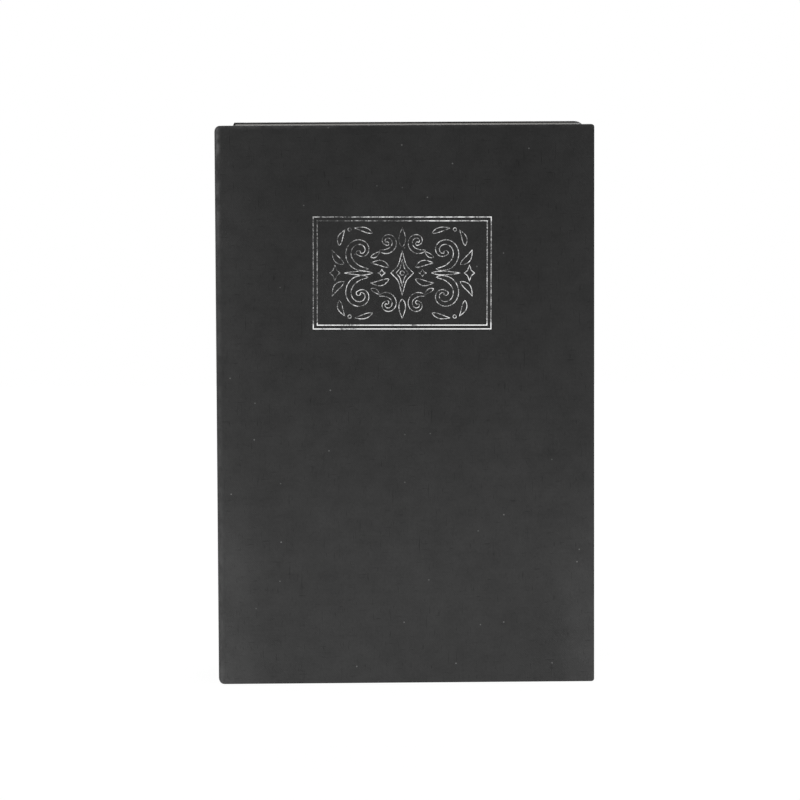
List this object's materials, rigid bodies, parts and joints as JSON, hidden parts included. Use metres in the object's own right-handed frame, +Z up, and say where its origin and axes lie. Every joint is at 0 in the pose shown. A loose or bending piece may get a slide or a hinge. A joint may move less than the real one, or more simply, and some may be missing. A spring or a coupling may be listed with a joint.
{
  "type": "book diversion safe",
  "caption": "Hardback book case that opens on a hinged, key-locked steel cash box set in a moulded block of imitation pages.",
  "frame": {"origin": "middle of the closed book's footprint, on the surface it stands on by its tail edges", "axes": "+Z up from tail to head, +X from the spine to the fore edge, -Y out of the front cover"},
  "size_m": [0.16, 0.056, 0.2372],
  "materials": {
    "cover_cloth": "charcoal linen-grain book cloth, dull",
    "greyboard": "bare binder's board",
    "lining_paper": "uncoated endpaper",
    "page_plastic": "moulded, satin",
    "black_steel": "black powder coat",
    "zinc_steel": "bright zinc plate",
    "nickel_plate": "polished nickel plate",
    "lock_brass": "nickel-flashed brass plug"
  },
  "bodies": {
    "case": {"back_board": "greyboard", "spine_board": "greyboard", "case_cloth": "cover_cloth", "joint_cloth": "cover_cloth", "back_lining": "lining_paper", "page_frame": "page_plastic", "page_edge_head": "page_plastic", "page_edge_tail": "page_plastic", "page_edge_fore": "page_plastic", "page_edge_spine": "page_plastic", "box_tray": "black_steel", "hinge_pin": "zinc_steel", "tray_screw_1": "zinc_steel", "tray_screw_2": "zinc_steel", "tray_screw_3": "zinc_steel", "tray_screw_4": "zinc_steel"},
    "cover": {"front_board": "greyboard", "front_cloth": "cover_cloth", "front_lining": "lining_paper"},
    "lid": {"box_lid": "black_steel", "lock_barrel": "nickel_plate", "lock_washer": "zinc_steel", "lock_nut": "nickel_plate"},
    "lock_core": {"lock_plug": "lock_brass", "stop_disc": "zinc_steel", "lock_cam": "zinc_steel", "cam_washer": "zinc_steel", "cam_screw": "zinc_steel"}
  },
  "joints": [
    {"name": "cover_open", "type": "hinge", "parent": "case", "child": "cover", "pos_m": [-0.07912, -0.02712, 0.1186], "axis": [0, 0, -1], "range_deg": [0, 180], "deforming": ["joint_cloth"]},
    {"name": "lid_open", "type": "hinge", "parent": "case", "child": "lid", "pos_m": [-0.0639, -0.0205, 0.1186], "axis": [0, 0, -1], "range_deg": [0, 105]},
    {"name": "lock_turn", "type": "hinge", "parent": "lid", "child": "lock_core", "pos_m": [0.044, -0.0226, 0.1186], "axis": [0, -1, 0], "range_deg": [0, 90]}
  ],
  "couplings": [
    {"joint": "lid_open", "follows": "cover_open", "ratio": 0.58333}
  ]
}
